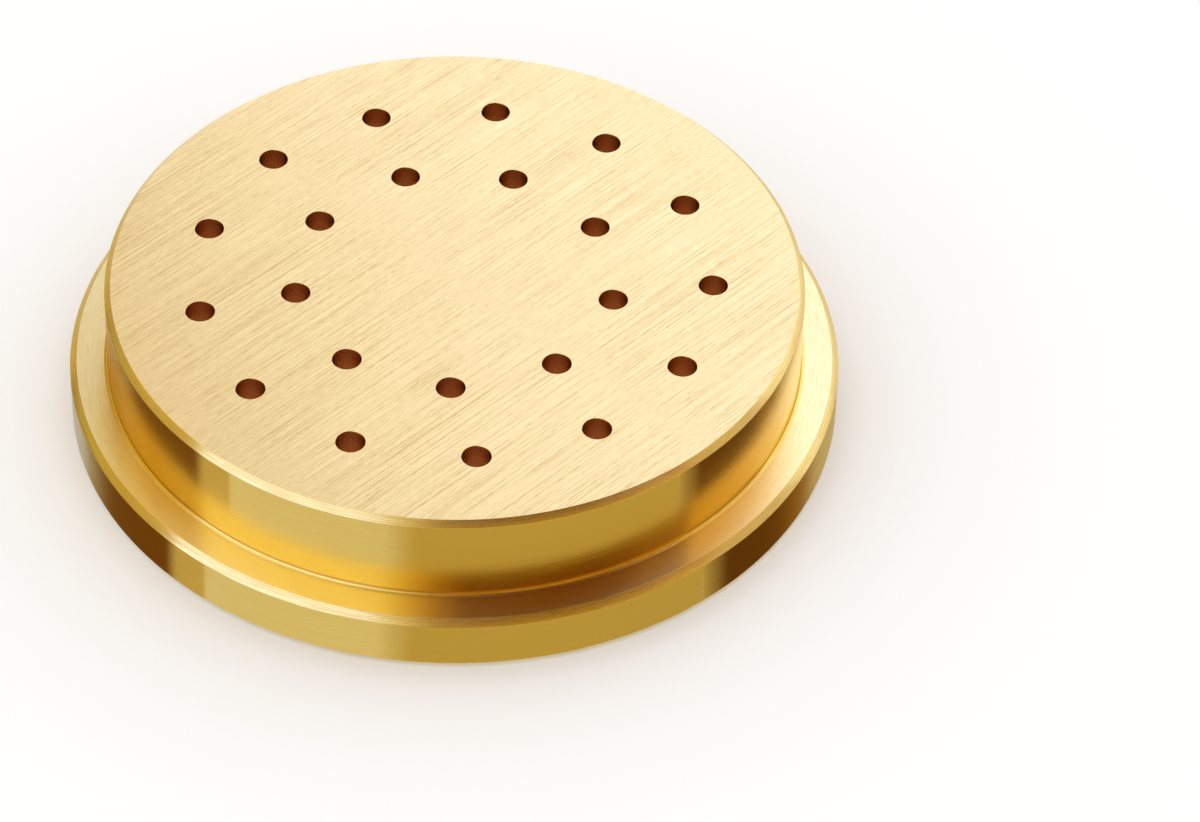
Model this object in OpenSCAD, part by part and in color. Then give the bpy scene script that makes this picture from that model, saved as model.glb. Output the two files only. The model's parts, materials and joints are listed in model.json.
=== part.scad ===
// Round extrusion die for fresh pasta, turned from one piece of brass and drilled with two rings of holes.
// It stands on its inlet side: z = 0 is the face that meets the dough, and +Z is the way the strands leave.

/* [Flange] */
// Diameter of the flange, which sits in the mouth of the machine's barrel
flange_d = 59; // [56:0.5:80]
// Thickness of the flange
flange_t = 4.7; // [3:0.1:10]
// Chamfer on the flange's front edge
flange_chamfer = 0.5; // [0.2:0.05:1.5]
// Chamfer on the flange's back edge
back_chamfer = 0.5; // [0.2:0.05:1.5]

/* [Hub] */
// Diameter of the hub, which passes through the machine's ring nut
hub_d = 53.2; // [48:0.1:56]
// Height of the hub above the flange
hub_h = 7.3; // [3:0.1:15]
// Chamfer around the front face
face_chamfer = 0.45; // [0.2:0.05:1.5]
// Radius of the tool's nose, left as a fillet at the hub's foot
foot_fillet = 0.3; // [0.1:0.05:1]

/* [Extrusion holes] */
// Diameter of the hole that gives a strand its thickness
hole_d = 2.2; // [1:0.1:2.8]
// Length of that narrow hole, behind the front face
land_l = 3; // [1:0.1:8]
// Diameter of the wider feed bore, drilled from the back
feed_d = 4.5; // [3:0.1:6]
// Point angle of the drill that makes the feed bore
drill_point = 118; // [90:1:140]

/* [Hole rings] */
// Number of holes in the outer ring
outer_count = 13; // [6:1:18]
// Pitch circle diameter of the outer ring
outer_pcd = 39.2; // [34:0.1:46]
// Number of holes in the inner ring
inner_count = 9; // [4:1:12]
// Pitch circle diameter of the inner ring
inner_pcd = 24.4; // [16:0.1:28]
// Direction of the first hole of both rings, counted from +X
first_hole = 90; // [0:1:359]

/* [Hidden] */

flange_r = flange_d / 2;
hub_r = hub_d / 2;
total_h = flange_t + hub_h;

// The feed bore ends in the drill's cone, which narrows to the strand's hole
cone_h = (feed_d - hole_d) / 2 / tan(drill_point / 2);
cone_top = total_h - land_l;
cone_bottom = cone_top - cone_h;

// How far a cut runs past the face that it starts from
cut_past = 1;
brass = "#DDBE72";
$fn = 160;

// Half section of the turned blank, with the axis at x = 0
module turned_section() {
    polygon([
        [0, 0],
        [flange_r - back_chamfer, 0],
        [flange_r, back_chamfer],
        [flange_r, flange_t - flange_chamfer],
        [flange_r - flange_chamfer, flange_t],
        [hub_r, flange_t],
        [hub_r, total_h - face_chamfer],
        [hub_r - face_chamfer, total_h],
        [0, total_h]
    ]);
    translate([hub_r, flange_t]) foot_section();
}

// What the tool's round nose leaves in the corner between the hub's wall and the flange
module foot_section() {
    difference() {
        square(foot_fillet);
        translate([foot_fillet, foot_fillet]) circle(foot_fillet);
    }
}

// The space that one strand is pressed through: feed bore, drill cone, narrow hole
module strand_way() {
    translate([0, 0, -cut_past]) cylinder(d = feed_d, h = cone_bottom + cut_past);
    translate([0, 0, cone_bottom]) cylinder(d1 = feed_d, d2 = hole_d, h = cone_h);
    translate([0, 0, cone_top]) cylinder(d = hole_d, h = land_l + cut_past);
}

// A ring of such ways, evenly spaced from the first hole's direction
module strand_ring(count, pcd) {
    for (i = [0 : count - 1])
        rotate(first_hole + i * 360 / count) translate([pcd / 2, 0, 0]) strand_way();
}

module die_body() {
    color(brass) difference() {
        rotate_extrude() turned_section();
        strand_ring(outer_count, outer_pcd);
        strand_ring(inner_count, inner_pcd);
    }
}

die_body();
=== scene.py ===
"""A round extrusion die for fresh pasta, turned from one piece of brass, on a pale studio floor."""
import json
import math

import bpy
from mathutils import Matrix, Vector


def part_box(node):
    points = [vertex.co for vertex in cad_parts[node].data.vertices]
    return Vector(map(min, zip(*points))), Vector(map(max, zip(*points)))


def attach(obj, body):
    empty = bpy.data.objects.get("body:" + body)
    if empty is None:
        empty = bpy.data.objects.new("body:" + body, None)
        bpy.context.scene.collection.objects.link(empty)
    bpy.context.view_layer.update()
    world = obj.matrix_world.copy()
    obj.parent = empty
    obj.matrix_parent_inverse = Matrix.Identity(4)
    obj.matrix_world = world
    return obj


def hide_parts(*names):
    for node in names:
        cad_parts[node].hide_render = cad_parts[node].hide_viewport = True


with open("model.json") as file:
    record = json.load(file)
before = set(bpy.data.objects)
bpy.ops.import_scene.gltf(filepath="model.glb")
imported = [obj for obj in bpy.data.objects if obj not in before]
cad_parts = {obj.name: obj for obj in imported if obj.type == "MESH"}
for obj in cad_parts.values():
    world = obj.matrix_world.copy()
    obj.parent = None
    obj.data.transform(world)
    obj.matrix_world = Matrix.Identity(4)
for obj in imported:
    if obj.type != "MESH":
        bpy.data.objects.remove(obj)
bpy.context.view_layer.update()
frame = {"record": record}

# Sizes in metres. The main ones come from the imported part: its box and its mounts
MM = 0.001
mounts = {mount["name"]: mount for mount in frame["record"]["mounts"]}
flange_r = mounts["flange_rim"]["dims"]["r_mm"] * MM
hub_r = mounts["hub_spigot"]["dims"]["r_mm"] * MM
shoulder_z = mounts["flange_shoulder"]["pos_m"][2]
face_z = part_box("die_body")[1].z
holes = [mount for name, mount in mounts.items() if "_hole_" in name]
hole_r = holes[0]["dims"]["r_mm"] * MM
land = holes[0]["dims"]["length_mm"] * MM

BACK_CHAMFER = 0.5 * MM
FLANGE_CHAMFER = 0.5 * MM
FACE_CHAMFER = 0.45 * MM
FOOT_FILLET = 0.3 * MM
FEED_R = 2.25 * MM
DRILL_POINT = math.radians(118)

# What the cutting tools leave on the edges: turned edges a little round, drilled edges deburred
EDGE_ROUND = 0.012 * MM
HOLE_DEBURR = 0.03 * MM
FEED_DEBURR = 0.2 * MM

TURNED_SIDES = 320
DRILLED_SIDES = 48

# The photograph's camera: where it stands and which pixel of its frame shows the front face's centre
FRAME_W, FRAME_H = 1200, 822
CENTRE_PIXEL = (455.3, 277.4)
VIEW_TURN = math.radians(18.55)
VIEW_ELEVATION = math.radians(42.18)
VIEW_DISTANCE = 410.2 * MM
VIEW_ROLL = math.radians(0.26)
LENS = 161.95
SENSOR = 36.0


def linear(hex_colour):
    """An sRGB hex colour as the linear RGBA that a socket takes."""
    channels = [int(hex_colour[i:i + 2], 16) / 255 for i in (1, 3, 5)]
    return [c / 12.92 if c <= 0.04045 else ((c + 0.055) / 1.055) ** 2.4 for c in channels] + [1.0]


def add_node(tree, kind, inputs=None, **settings):
    """Add a node, set its properties, and set or link its inputs."""
    node = tree.nodes.new(kind)
    for name, value in settings.items():
        setattr(node, name, value)
    for socket, value in (inputs or {}).items():
        if isinstance(value, bpy.types.NodeSocket):
            tree.links.new(value, node.inputs[socket])
        else:
            node.inputs[socket].default_value = value
    return node


def new_material(name):
    """A material with an empty node tree."""
    material = bpy.data.materials.new(name)
    material.use_nodes = True
    material.node_tree.nodes.clear()
    return material, material.node_tree


# Modelling

def lathe(name, sides, profile):
    """A closed solid turned about Z: a disc extruded through the (radius, height) points of its profile."""
    bpy.ops.object.select_all(action="DESELECT")
    radius, height = profile[0]
    place = (0, 0, height)
    bpy.ops.mesh.primitive_circle_add(vertices=sides, radius=radius, fill_type="NGON", location=place)
    solid = bpy.context.object
    solid.name = name
    bpy.ops.object.transform_apply(location=True, rotation=False, scale=False)
    bpy.ops.object.mode_set(mode="EDIT")
    for next_radius, next_height in profile[1:]:
        bpy.ops.mesh.extrude_region_move(TRANSFORM_OT_translate={"value": (0, 0, next_height - height)})
        grow = next_radius / radius
        bpy.ops.transform.resize(value=(grow, grow, 1), center_override=(0, 0, 0))
        radius, height = next_radius, next_height
    bpy.ops.mesh.select_all(action="SELECT")
    bpy.ops.mesh.normals_make_consistent(inside=False)
    bpy.ops.object.mode_set(mode="OBJECT")
    return solid


def select_rings(solid, rings):
    """Select the edges that run round the axis at these (radius, height) places, and nothing else."""
    near = 0.001 * MM
    mesh = solid.data
    on_ring = [
        any(abs(v.co.xy.length - r) < near and abs(v.co.z - z) < near for r, z in rings)
        for v in mesh.vertices
    ]
    for face in mesh.polygons:
        face.select = False
    for vertex in mesh.vertices:
        vertex.select = False
    for edge in mesh.edges:
        a, b = (mesh.vertices[i].co for i in edge.vertices)
        edge.select = all(on_ring[i] for i in edge.vertices) and abs(a.z - b.z) < near


def bevel_rings(solid, rings, offset, segments):
    """Round those edges."""
    select_rings(solid, rings)
    bpy.context.view_layer.objects.active = solid
    bpy.ops.object.mode_set(mode="EDIT")
    bpy.ops.mesh.select_mode(type="EDGE")
    bpy.ops.mesh.bevel(
        offset=offset, offset_type="OFFSET", segments=segments, affect="EDGES", clamp_overlap=False
    )
    bpy.ops.object.mode_set(mode="OBJECT")


def turned_blank():
    """The blank as it leaves the lathe: flange, shoulder, hub, chamfers and the round at the hub's foot."""
    edges = [
        (flange_r - BACK_CHAMFER, 0),
        (flange_r, BACK_CHAMFER),
        (flange_r, shoulder_z - FLANGE_CHAMFER),
        (flange_r - FLANGE_CHAMFER, shoulder_z),
        (hub_r, face_z - FACE_CHAMFER),
        (hub_r - FACE_CHAMFER, face_z),
    ]
    foot = (hub_r, shoulder_z)
    blank = lathe("die_body_turned", TURNED_SIDES, edges[:4] + [foot] + edges[4:])
    bevel_rings(blank, [foot], FOOT_FILLET, segments=8)
    bevel_rings(blank, edges, EDGE_ROUND, segments=3)
    return blank


def hole_cutter():
    """What the drills take away for one hole: feed bore, drill cone, narrow land, and both rims deburred."""
    past = 0.5 * MM
    cone_top = face_z - land
    cone_bottom = cone_top - (FEED_R - hole_r) / math.tan(DRILL_POINT / 2)
    return lathe("hole_cutter", DRILLED_SIDES, [
        (FEED_R + FEED_DEBURR + past, -past),
        (FEED_R, FEED_DEBURR),
        (FEED_R, cone_bottom),
        (hole_r, cone_top),
        (hole_r, face_z - HOLE_DEBURR),
        (hole_r + HOLE_DEBURR + past, face_z + past),
    ])


def drill(blank):
    """Drill every hole that the record places, in one cut."""
    first = hole_cutter()
    cutters = []
    for hole in holes:
        copy = first.copy()
        copy.data = first.data.copy()
        copy.location = (hole["pos_m"][0], hole["pos_m"][1], 0)
        bpy.context.collection.objects.link(copy)
        cutters.append(copy)
    bpy.data.objects.remove(first)
    bpy.ops.object.select_all(action="DESELECT")
    for cutter in cutters:
        cutter.select_set(True)
    bpy.context.view_layer.objects.active = cutters[0]
    bpy.ops.object.transform_apply(location=True, rotation=False, scale=False)
    bpy.ops.object.join()
    cut = blank.modifiers.new("drilled", "BOOLEAN")
    cut.operation = "DIFFERENCE"
    cut.solver = "EXACT"
    cut.object = cutters[0]
    bpy.context.view_layer.objects.active = blank
    bpy.ops.object.modifier_apply(modifier=cut.name)
    bpy.data.objects.remove(cutters[0])


def smooth_shading(solid):
    """Smooth the round walls and keep the flat faces flat."""
    edge_angle = math.radians(35)
    bpy.ops.object.select_all(action="DESELECT")
    solid.select_set(True)
    bpy.context.view_layer.objects.active = solid
    bpy.ops.object.shade_smooth_by_angle(angle=edge_angle)
    # Broad faces rule the normals along the small rounds
    weighted = solid.modifiers.new("broad_faces_rule", "WEIGHTED_NORMAL")
    weighted.mode = "FACE_AREA"
    weighted.weight = 100
    weighted.keep_sharp = True
    bpy.ops.object.modifier_apply(modifier=weighted.name)


# Materials

# The way the belt ran across the front face, counted from +X
GRAIN_ANGLE = math.radians(26.3)


def surface(tree, **inputs):
    """A metal's shader, joined to the material's output."""
    named = {name.replace("_", " "): value for name, value in inputs.items()}
    shader = add_node(tree, "ShaderNodeBsdfPrincipled", {"Metallic": 1.0, **named})
    add_node(tree, "ShaderNodeOutputMaterial", {"Surface": shader.outputs["BSDF"]})


def brushed_brass():
    """Brass brushed straight across on an abrasive belt: pale, with fine hairlines that all run one way."""
    # Width, length and share of the long scratches, the hairlines and the short nicks between them.
    # A fine belt's real scratches are about half as wide: these are drawn coarser, so that they show
    layers = ((0.055 * MM, 25 * MM, 0.42), (0.065 * MM, 6 * MM, 0.36), (0.08 * MM, 0.8 * MM, 0.22))
    material, tree = new_material("brass_belt_brushed")
    place = add_node(tree, "ShaderNodeTexCoord")
    turned = add_node(tree, "ShaderNodeMapping", {
        "Vector": place.outputs["Object"], "Rotation": (0, 0, -GRAIN_ANGLE),
    }, vector_type="POINT")
    height = 0.0
    for width, length, share in layers:
        stretched = add_node(tree, "ShaderNodeVectorMath", {
            0: turned.outputs["Vector"], 1: (1 / length, 1 / width, 1),
        }, operation="MULTIPLY")
        lines = add_node(tree, "ShaderNodeTexNoise", {
            "Vector": stretched.outputs["Vector"], "Scale": 1.0, "Detail": 1.0, "Roughness": 0.6,
        })
        height = add_node(tree, "ShaderNodeMath", {
            0: lines.outputs["Fac"], 1: share, 2: height,
        }, operation="MULTIPLY_ADD").outputs["Value"]
    # The scratches' floors are darker than the metal left between them
    scratch, between = 0.36, 0.53
    colour = add_node(tree, "ShaderNodeValToRGB", {"Fac": height})
    colour.color_ramp.elements[0].position = scratch
    colour.color_ramp.elements[0].color = linear("#D6BC84")
    colour.color_ramp.elements[1].position = between
    colour.color_ramp.elements[1].color = linear("#FEECC4")
    rough = add_node(tree, "ShaderNodeMapRange", {
        "Value": height, "From Min": 0.38, "From Max": 0.6, "To Min": 0.34, "To Max": 0.28,
    })
    bump = add_node(tree, "ShaderNodeBump", {"Height": height, "Distance": 0.006 * MM, "Strength": 1.0})
    across = add_node(tree, "ShaderNodeTangent", direction_type="UV_MAP", uv_map="across_lines")
    surface(tree, Base_Color=colour.outputs["Color"], Roughness=rough.outputs["Result"],
            Normal=bump.outputs["Normal"], Anisotropic=0.95, Tangent=across.outputs["Tangent"])
    return material


def turned_brass(name, colours, roughness, groove, length, depth, anisotropy, tangent="RADIAL",
                 uneven=0.18, feed_lines=0.0):
    """Brass cut on the lathe: fine rings round the axis, as far apart as the tool's feed.

    The rings spread a reflection across themselves, so lights show as soft upright bands on a wall.
    Each ring is broken after about its length, and uneven says how much its gloss changes.
    """
    material, tree = new_material(name)
    place = add_node(tree, "ShaderNodeTexCoord").outputs["Object"]
    flat = add_node(tree, "ShaderNodeVectorMath", {0: place, 1: (1, 1, 0)}, operation="MULTIPLY")
    radius = add_node(tree, "ShaderNodeVectorMath", {0: flat.outputs["Vector"]}, operation="LENGTH")
    height = add_node(tree, "ShaderNodeSeparateXYZ", {"Vector": place}).outputs["Z"]
    # Along a wall only the height changes, along a face only the radius. On a chamfer both do, and the
    # height counts a little more, so that its rings don't fall into one
    height_share = -1.3
    feed = add_node(tree, "ShaderNodeMath", {
        0: height, 1: height_share, 2: radius.outputs["Value"],
    }, operation="MULTIPLY_ADD")
    ring = add_node(tree, "ShaderNodeMath", {0: feed.outputs["Value"], 1: groove}, operation="DIVIDE")
    along = add_node(tree, "ShaderNodeVectorMath", {0: place, "Scale": 1 / length}, operation="SCALE")
    rings = add_node(tree, "ShaderNodeTexNoise", {
        "Vector": along.outputs["Vector"], "W": ring.outputs["Value"],
        "Scale": 1.0, "Detail": 2.0, "Roughness": 0.6,
    }, noise_dimensions="4D").outputs["Fac"]
    turn = add_node(tree, "ShaderNodeMath", {0: ring.outputs["Value"], 1: math.pi}, operation="MULTIPLY")
    wave = add_node(tree, "ShaderNodeMath", {0: turn.outputs["Value"]}, operation="SINE")
    rings = add_node(tree, "ShaderNodeMath", {
        0: wave.outputs["Value"], 1: feed_lines, 2: rings,
    }, operation="MULTIPLY_ADD").outputs["Value"]
    groove_floor, ridge = 0.3, 0.65
    colour = add_node(tree, "ShaderNodeValToRGB", {"Fac": rings})
    for element, position, hex_colour in zip(colour.color_ramp.elements, (groove_floor, ridge), colours):
        element.position = position
        element.color = linear(hex_colour)
    rough = add_node(tree, "ShaderNodeMapRange", {
        "Value": rings, "From Min": 0.3, "From Max": 0.7,
        "To Min": (1 + uneven) * roughness, "To Max": (1 - uneven) * roughness,
    })
    bump = add_node(tree, "ShaderNodeBump", {"Height": rings, "Distance": depth, "Strength": 1.0})
    if tangent == "RADIAL":
        lines = add_node(tree, "ShaderNodeTangent", direction_type="RADIAL", axis="Z")
        quarter_turn = 0.25
    else:
        lines = add_node(tree, "ShaderNodeTangent", direction_type="UV_MAP", uv_map="across_lines")
        quarter_turn = 0.0
    surface(tree, Base_Color=colour.outputs["Color"], Roughness=rough.outputs["Result"],
            Normal=bump.outputs["Normal"], Anisotropic=anisotropy, Anisotropic_Rotation=quarter_turn,
            Tangent=lines.outputs["Tangent"])
    return material


def finish_faces(solid):
    """Give each face the finish of the tool that made it."""
    finishes = {
        # Brushed on a belt: pale, satin, with straight hairlines
        "front": brushed_brass(),
        # A fine finishing cut: bright gold with a near-mirror gloss
        "wall": turned_brass(
            "brass_fine_turned", ("#EECA6B", "#F3D376"), roughness=0.15, groove=0.12 * MM,
            length=6 * MM, depth=0.0001 * MM, anisotropy=1.0,
        ),
        # Painted shade: the upper half of the round at the hub's foot gets a dull, darker brass, a shadow
        # line painted into the corner
        "corner": turned_brass(
            "brass_corner_painted_shade", ("#C2964F", "#CCA05A"), roughness=0.34, groove=0.12 * MM,
            length=3 * MM, depth=0.0002 * MM, anisotropy=0.9,
        ),
        # Painted highlight: the lower half of that round gets a pale brass, a thin light line painted beside
        # the painted shade
        "foot": turned_brass(
            "brass_foot_painted_highlight", ("#F2D890", "#F7E2A2"), roughness=0.3, groove=0.12 * MM,
            length=3 * MM, depth=0.0002 * MM, anisotropy=0.9,
        ),
        # Faced across the flange: pale and even, with a soft gloss
        "shoulder": turned_brass(
            "brass_faced", ("#F5E6B8", "#FAEFCB"), roughness=0.24, groove=0.12 * MM,
            length=1.5 * MM, depth=0.0001 * MM, anisotropy=0.88, uneven=0.05,
        ),
        # Cut in one quick pass: the palest brass, with the feed's lines showing
        "chamfer": turned_brass(
            "brass_chamfer_cut", ("#EBD1A4", "#FBEFD8"), roughness=0.3, groove=0.14 * MM,
            length=3 * MM, depth=0.0006 * MM, anisotropy=1.0, feed_lines=0.12,
        ),
        # Drilled: reddish and dark, since light bounces between the walls before it comes out
        "bore": turned_brass(
            "brass_drilled", ("#CA9C74", "#DEB48A"), roughness=0.2, groove=0.2 * MM,
            length=1.5 * MM, depth=0.0002 * MM, anisotropy=0.8, tangent="UV_MAP",
        ),
        # The hidden side, faced with a coarser feed: rings that show, and a duller gloss
        "back": turned_brass(
            "brass_back_faced", ("#DDBC68", "#F0D68C"), roughness=0.26, groove=0.16 * MM,
            length=4 * MM, depth=0.002 * MM, anisotropy=0.4,
        ),
    }
    for material in finishes.values():
        solid.data.materials.append(material)
    order = list(finishes)
    near = 0.02 * MM
    # How far a face looks up or down, from 0 on an upright wall to 1 on a level face
    flat, sloped, steep, upright_wall = 0.99, 0.9, 0.55, 0.3
    foot_end = hub_r + 0.9 * FOOT_FILLET
    centres = [Vector(hole["pos_m"][:2]) for hole in holes]
    for face in solid.data.polygons:
        centre, up = face.center, face.normal.z
        beside = min((centre.xy - axis).length for axis in centres)
        if abs(up) > flat and centre.z > face_z - near:
            kind = "front"
        elif abs(up) > flat and centre.z < near:
            kind = "back"
        elif beside < FEED_R + FEED_DEBURR:
            kind = "bore"
        # The round at the hub's foot: its upper half takes the painted shade, its lower half the painted
        # highlight
        elif hub_r < centre.xy.length < foot_end and centre.z < shoulder_z + FOOT_FILLET:
            kind = "corner" if up < steep else "foot"
        elif abs(up) < upright_wall:
            kind = "wall"
        elif abs(up) < sloped:
            kind = "chamfer"
        else:
            kind = "shoulder"
        face.material_index = order.index(kind)


def lay_lines(solid):
    """A UV map whose U runs across the lines that the tools left, the way that they spread a reflection."""
    # Any slant that keeps U and V apart on a bore's wall
    slant = 0.37
    across = solid.data.uv_layers.new(name="across_lines")
    turn = Matrix.Rotation(-GRAIN_ANGLE - math.pi / 2, 2)
    for face in solid.data.polygons:
        flat = abs(face.normal.z) > 0.9
        for i in face.loop_indices:
            place = solid.data.vertices[solid.data.loops[i].vertex_index].co
            along_bore = Vector((place.z, place.x + slant * place.y))
            across.data[i].uv = (turn @ place.xy if flat else along_bore) / (2 * flange_r)


def build_die():
    """The one piece that shows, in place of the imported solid."""
    die = turned_blank()
    drill(die)
    finish_faces(die)
    lay_lines(die)
    smooth_shading(die)
    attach(die, "root")
    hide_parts("die_body")


# Studio: directions are counted in degrees as the camera sees them, 0 to its right, 90 away, 180 to its left

STUDIO_R = 0.8


def direction(azimuth, elevation=0.0):
    """The unit vector of a direction in the studio."""
    a = math.radians(azimuth) - VIEW_TURN
    e = math.radians(elevation)
    return Vector((math.cos(a) * math.cos(e), math.sin(a) * math.cos(e), math.sin(e)))


def upright(azimuth):
    """A card's edge that stands upright."""
    return lambda elevation: azimuth


def straight_on_wall(azimuth):
    """A card's edge curved so that the walls mirror it as an upright line at this place round the die."""
    limit = 0.9
    across = math.cos(VIEW_ELEVATION) * math.sin(math.radians(azimuth + 90))

    def edge(elevation):
        reach = across / math.cos(math.radians(elevation))
        return azimuth + math.degrees(math.asin(max(-limit, min(limit, reach))))
    return edge


def glowing(name, hex_colour, strength=1.0, fade=None):
    """A material that sends out this colour, or fades across a card to another colour and strength."""
    material, tree = new_material(name)
    near = {"Color": linear(hex_colour), "Strength": strength}
    light = add_node(tree, "ShaderNodeEmission", near).outputs[0]
    if fade:
        other = {"Color": linear(fade[0]), "Strength": fade[1]}
        far = add_node(tree, "ShaderNodeEmission", other).outputs[0]
        place = add_node(tree, "ShaderNodeTexCoord").outputs["UV"]
        across = add_node(tree, "ShaderNodeSeparateXYZ", {"Vector": place}).outputs["X"]
        light = add_node(tree, "ShaderNodeMixShader", {0: across, 1: light, 2: far}).outputs[0]
    add_node(tree, "ShaderNodeOutputMaterial", {"Surface": light})
    return material


def card(name, left, right, elevations, hex_colour, strength=1.0, fade=None):
    """A curved card round the die that glows and shows only as a reflection in it: a painted reflection,
    placed as a photographer's flag would be.
    """
    low, high = elevations
    bpy.ops.object.select_all(action="DESELECT")
    bpy.ops.mesh.primitive_grid_add(x_subdivisions=8, y_subdivisions=8, size=1)
    glowing_card = bpy.context.object
    glowing_card.name = name
    for vertex in glowing_card.data.vertices:
        elevation = low + (high - low) * (vertex.co.y + 0.5)
        azimuth = left(elevation) + (right(elevation) - left(elevation)) * (vertex.co.x + 0.5)
        vertex.co = direction(azimuth, elevation) * STUDIO_R
    glowing_card.data.materials.append(glowing(name, hex_colour, strength, fade))
    glowing_card.visible_camera = False
    glowing_card.visible_diffuse = False
    glowing_card.visible_shadow = False


def softbox(name, azimuth, elevation, size, distance, radiance):
    """A soft lamp that faces the die."""
    lamp = bpy.data.lights.new(name, "AREA")
    lamp.shape = "RECTANGLE"
    lamp.size, lamp.size_y = size
    lamp.energy = radiance * math.pi * size[0] * size[1]
    box = bpy.data.objects.new(name, lamp)
    box.location = direction(azimuth, elevation) * distance
    box.rotation_euler = direction(azimuth, elevation).to_track_quat("Z", "Y").to_euler()
    bpy.context.collection.objects.link(box)


def build_floor():
    """A pale floor that keeps the die's shadow."""
    floor_size = 3.0
    bpy.ops.object.select_all(action="DESELECT")
    bpy.ops.mesh.primitive_plane_add(size=floor_size, location=(0, 0, 0))
    floor = bpy.context.object
    floor.name = "floor"
    material, tree = new_material("white_paper_floor")
    paper = add_node(tree, "ShaderNodeBsdfDiffuse", {"Color": linear("#F9F8F7")})
    add_node(tree, "ShaderNodeOutputMaterial", {"Surface": paper.outputs["BSDF"]})
    floor.data.materials.append(material)
    floor.visible_glossy = False


def build_world():
    """A plain white surround, the same for the camera, the metal and the floor."""
    world = bpy.data.worlds.new("white_surround")
    world.use_nodes = True
    tree = world.node_tree
    tree.nodes.clear()
    white = add_node(tree, "ShaderNodeBackground", {"Strength": 1.0, "Color": linear("#FFFFFF")})
    add_node(tree, "ShaderNodeOutputWorld", {"Surface": white.outputs["Background"]})
    bpy.context.scene.world = world


# The tones of the glowing cards round the die, which only the metal sees: painted reflections of a white
# tent, warm reflectors and brown flags
WHITE = "#FFFFFF"
CREAM = "#F8EAA2"
STRAW = "#EDDF6A"
GOLD = "#D2A62C"
TAN = "#C8B88C"
BRONZE = "#B07A18"
BROWN = "#6A451A"
UMBER = "#501A10"


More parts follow.
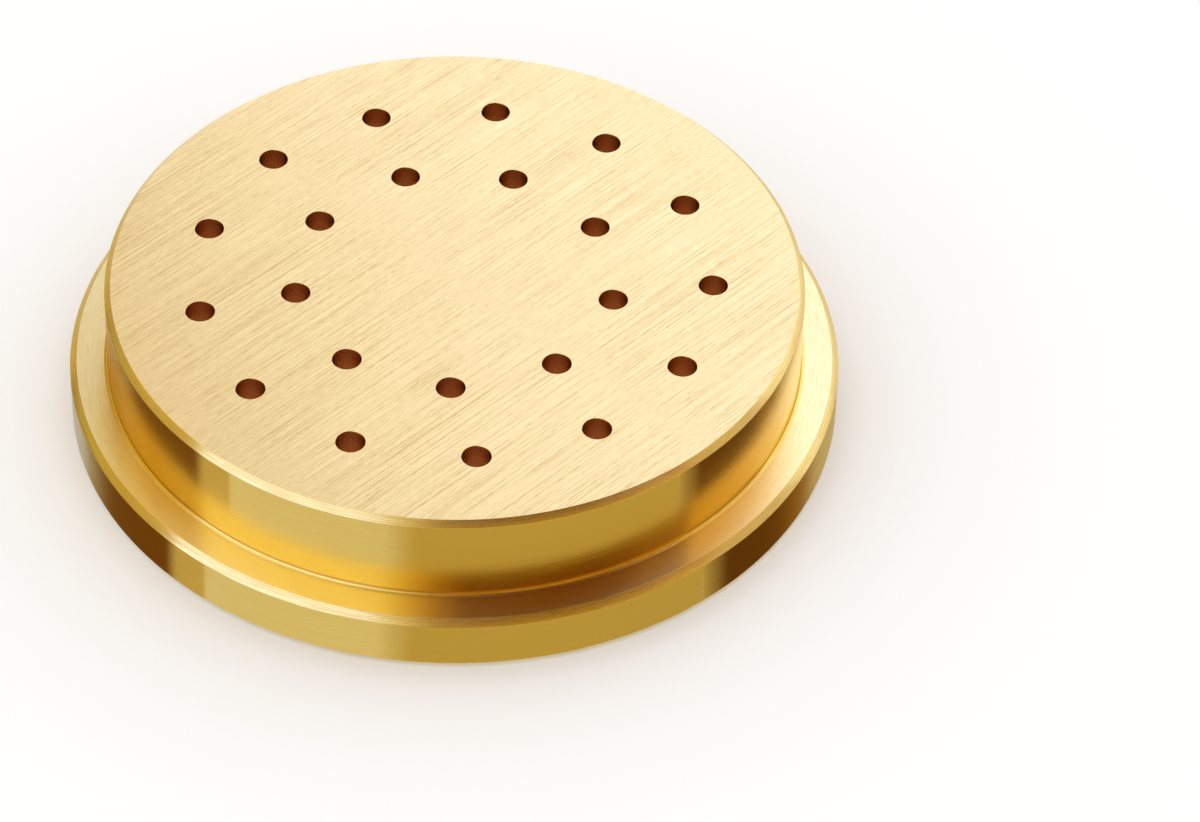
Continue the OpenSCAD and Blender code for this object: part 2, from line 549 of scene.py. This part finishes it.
def build_studio():
    """The light on the floor, and the glowing cards that paint the metal's reflections."""
    build_world()
    build_floor()
    size = (0.6, 0.5)
    softbox("key_softbox_right", azimuth=50, elevation=50, size=size, distance=0.6, radiance=0.3)
    softbox("fill_softbox_left", azimuth=217, elevation=40, size=size, distance=0.6, radiance=0.27)
    # Where the walls show a card's edge, from the die's left to its right
    dark_left = straight_on_wall(223.6)
    left = straight_on_wall(225.6)
    strip = straight_on_wall(231.2)
    soft = straight_on_wall(258.8)
    firm = straight_on_wall(264)
    tan_end = straight_on_wall(308.8)
    right = straight_on_wall(310.7)
    dark_right = straight_on_wall(313.6)
    # Each card has two edges, the height where it starts and ends in degrees, a tone and a strength.
    # Above the floor, from behind the die by its left and the camera to its right. Painted reflections:
    # white and gold cards where light would be, brown and umber ones where shade would be
    card("white_low_back", upright(74), upright(104), (0, 30), WHITE, 1.5)
    card("white_back", upright(74), upright(90), (30, 57), WHITE)
    card("fade_back", upright(90), upright(104), (30, 57), WHITE, 0.9, fade=(CREAM, 0.9))
    card("tan_high_back", upright(58), upright(104), (57, 85), TAN)
    card("straw_low_left", upright(104), upright(142), (0, 14), STRAW)
    card("bronze_left", upright(104), upright(142), (14, 46), BRONZE)
    card("cream_left", upright(104), upright(130), (46, 57), CREAM, 1.4)
    card("gold_high_left", upright(130), upright(150), (46, 57), GOLD)
    card("white_high_left", upright(104), left, (57, 68), WHITE, 1.5)
    card("straw_low_left_near", upright(142), left, (0, 16), STRAW, 0.75)
    card("gold_left", upright(142), left, (16, 46), GOLD)
    card("straw_left", upright(150), left, (46, 57), STRAW)
    card("straw_ceiling_left", upright(104), upright(205), (68, 85), STRAW)
    card("white_low_front_left", left, soft, (0, 30), WHITE, 1.5)
    card("straw_front_left", left, soft, (30, 57), STRAW)
    card("fade_low_front", soft, upright(268), (0, 30), CREAM, 1.2, fade=(BRONZE, 1.0))
    card("fade_gold_front", soft, firm, (30, 68), STRAW, fade=(GOLD, 1.0))
    card("fade_dark_front", firm, upright(273), (30, 68), GOLD, fade=(UMBER, 1.0))
    card("gold_low_front", upright(268), right, (0, 16), GOLD, 2.2)
    card("bronze_low_front", upright(268), right, (16, 30), BRONZE, 1.4)
    card("umber_front", upright(273), upright(330), (30, 68), UMBER)
    card("brown_front_right", upright(330), right, (30, 68), BROWN, 1.3)
    card("brown_ceiling", upright(205), upright(418), (68, 85), BROWN)
    card("cream_low_right", right, upright(372), (0, 16), CREAM)
    card("gold_right", right, upright(372), (16, 46), GOLD)
    card("gold_high_right", right, upright(404), (46, 68), GOLD, 1.2)
    card("cream_low_right_far", upright(372), upright(434), (0, 30), CREAM, 1.4)
    card("gold_right_far", upright(372), upright(402), (30, 46), GOLD)
    card("white_right_far", upright(418), upright(434), (30, 57), WHITE, 1.2)
    # Painted reflections of the table round the die, with its shade painted in as greyer and browner tones
    card("table_left_far", upright(95), upright(128), (-65, -22), WHITE, 0.6)
    card("table_left", upright(128), upright(140), (-65, -22), TAN, 0.6)
    card("table_left_near", upright(116), upright(140), (-22, 0), CREAM, 0.8, fade=(GOLD, 0.8))
    card("table_brown_left", upright(140), dark_left, (-65, 0), BROWN, 1.1)
    card("fade_left", dark_left, left, (-65, 0), BROWN, 1.1, fade=(TAN, 1.0))
    card("table_strip_left", left, strip, (-65, 0), TAN)
    card("table_white", strip, soft, (-65, 0), WHITE, 0.75)
    card("fade_tan", soft, firm, (-65, -34), WHITE, 0.75, fade=(TAN, 0.85))
    card("fade_straw", soft, firm, (-34, 0), WHITE, 0.75, fade=(STRAW, 1.1))
    card("table_tan", firm, tan_end, (-65, -34), TAN, 0.85)
    card("table_straw", firm, tan_end, (-34, 0), STRAW, 1.1)
    card("fade_right", tan_end, dark_right, (-65, 0), TAN, 0.85, fade=(BROWN, 0.8))
    card("table_brown_right", dark_right, upright(387), (-65, 0), BROWN, 0.8)
    card("table_bronze_right", upright(387), upright(402), (-65, 0), BRONZE, 0.6)
    card("table_right_far", upright(402), upright(440), (-65, 0), TAN)
    # A glowing disc under the floor that only the bores see: a painted reflection of the paper under the die
    under_r = flange_r - BACK_CHAMFER
    under_top = -0.2 * MM
    under_bottom = -0.4 * MM
    under = lathe("painted_reflection_under_die", DRILLED_SIDES, [(under_r, under_bottom), (under_r, under_top)])
    under.data.materials.append(glowing("painted_reflection_under_die", "#F0F0F0"))
    under.visible_camera = False
    under.visible_diffuse = False


def build_camera():
    """The camera where the photograph was taken, turned so that the face's centre falls on its pixel."""
    to_camera = direction(270, math.degrees(VIEW_ELEVATION))
    straight = to_camera.to_track_quat("Z", "Y").to_matrix() @ Matrix.Rotation(VIEW_ROLL, 3, "Z")
    pixel = LENS / SENSOR * FRAME_W
    aim = Vector(((CENTRE_PIXEL[0] - FRAME_W / 2) / pixel, (FRAME_H / 2 - CENTRE_PIXEL[1]) / pixel, -1))
    offset = Vector((0, 0, -1)).rotation_difference(aim).inverted().to_matrix()
    camera = bpy.data.objects.new("camera", bpy.data.cameras.new("camera"))
    camera.data.lens = LENS
    camera.data.sensor_width = SENSOR
    camera.data.clip_start = 0.01
    place = Vector((0, 0, face_z)) + to_camera * VIEW_DISTANCE
    camera.matrix_world = Matrix.Translation(place) @ (straight @ offset).to_4x4()
    bpy.context.collection.objects.link(camera)
    bpy.context.scene.camera = camera


build_die()
build_studio()
build_camera()
bpy.context.scene.view_settings.view_transform = "Standard"
